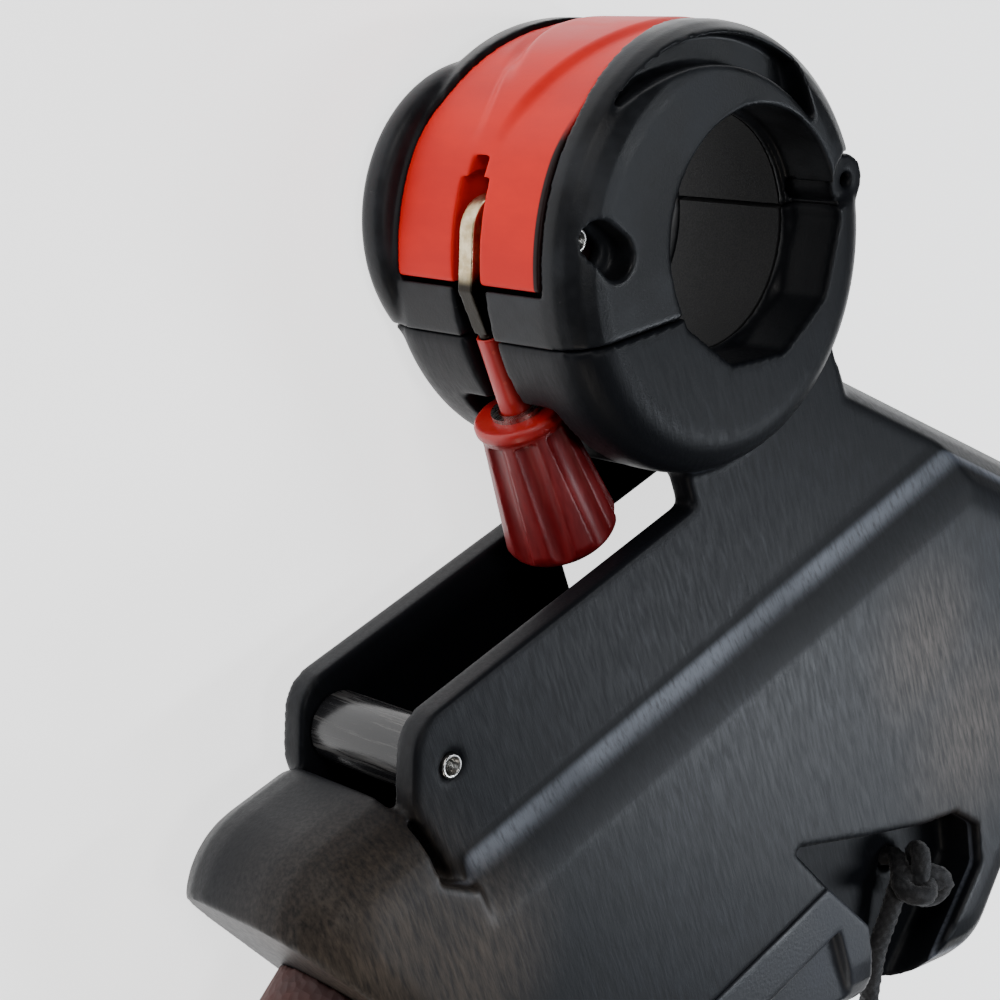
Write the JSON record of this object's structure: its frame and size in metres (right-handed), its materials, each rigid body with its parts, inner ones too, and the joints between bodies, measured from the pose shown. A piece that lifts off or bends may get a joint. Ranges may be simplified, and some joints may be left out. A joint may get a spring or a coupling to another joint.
{
  "type": "windsurf boom head",
  "caption": "Windsurf boom head: hinged mast clamp with red cam lever, tension rod and fluted knob, moulded black head with a roller between cheeks, arm stubs and knotted rope.",
  "frame": {"origin": "centre of the mast bore at the middle of the clamp", "axes": "+Z along the mast, +X towards the clamp closure with lever and knob, +Y aft towards the head"},
  "size_m": [0.3266, 0.2933, 0.058],
  "materials": {
    "black_nylon": "satin glass-filled nylon",
    "cover_nylon": "satin nylon",
    "liner_rubber": "smooth",
    "lever_red": "satin",
    "knob_crimson": "satin",
    "spring_steel": "bright",
    "bronze": "worn",
    "roller_black": "polished",
    "tube_carbon": "woven carbon",
    "grip_foam": "foam",
    "plug_plastic": "matt",
    "rope_black": "braided"
  },
  "bodies": {
    "head": {"rear_jaw": "black_nylon", "rear_liner": "liner_rubber", "hinge_pin": "spring_steel", "head_shell": "black_nylon", "aft_cover": "cover_nylon", "cover_screws": "spring_steel", "jaw_screws": "spring_steel", "roller_pin": "spring_steel", "tube_right": "tube_carbon", "tube_left": "tube_carbon", "grip_right": "grip_foam", "grip_left": "grip_foam", "tube_plugs": "plug_plastic", "tube_rivets": "spring_steel", "rope_knot": "rope_black", "rope": "rope_black", "rope_coil": "rope_black", "rope_end_knot": "rope_black"},
    "front_jaw": {"front_jaw": "black_nylon", "front_liner": "liner_rubber"},
    "cam_pin": {"cam_pin": "spring_steel"},
    "lever": {"lever": "lever_red"},
    "rod": {"eye_bolt": "bronze"},
    "washer": {"thrust_washer": "spring_steel"},
    "knob": {"knob": "knob_crimson", "knob_insert": "bronze"},
    "roller": {"roller": "roller_black"}
  },
  "joints": [
    {"name": "jaw_open", "type": "hinge", "parent": "head", "child": "front_jaw", "pos_m": [-0.0315, 0.002, 0], "axis": [0, 0, -1], "range_deg": [0, 70]},
    {"name": "pin_slide", "type": "slide", "parent": "front_jaw", "child": "cam_pin", "axis": [-0.5, 0.866, 0], "range_m": [0, 0.004]},
    {"name": "lever_open", "type": "hinge", "parent": "cam_pin", "child": "lever", "pos_m": [0.0418, -0.0182, 0], "axis": [0, 0, 1], "range_deg": [0, 105]},
    {"name": "rod_swing", "type": "hinge", "parent": "head", "child": "rod", "pos_m": [0.0418, -0.0182, 0], "axis": [0, 0, -1], "range_deg": [0, 70]},
    {"name": "knob_travel", "type": "slide", "parent": "rod", "child": "washer", "axis": [-0.0837, 0.9965, 0], "range_m": [0, 0.0041]},
    {"name": "knob_turn", "type": "hinge", "parent": "washer", "child": "knob", "pos_m": [0.04778, 0.03, 0], "axis": [-0.0837, 0.9965, 0], "range_deg": [0, 1800]},
    {"name": "roller_spin", "type": "hinge", "parent": "head", "child": "roller", "pos_m": [0.105, 0.062, 0], "axis": [0, 0, 1], "continuous": true}
  ],
  "couplings": [
    {"joint": "pin_slide", "follows": "lever_open", "m_per_rad": 0.00218},
    {"joint": "knob_travel", "follows": "knob_turn", "m_per_rad": 0.000127}
  ]
}
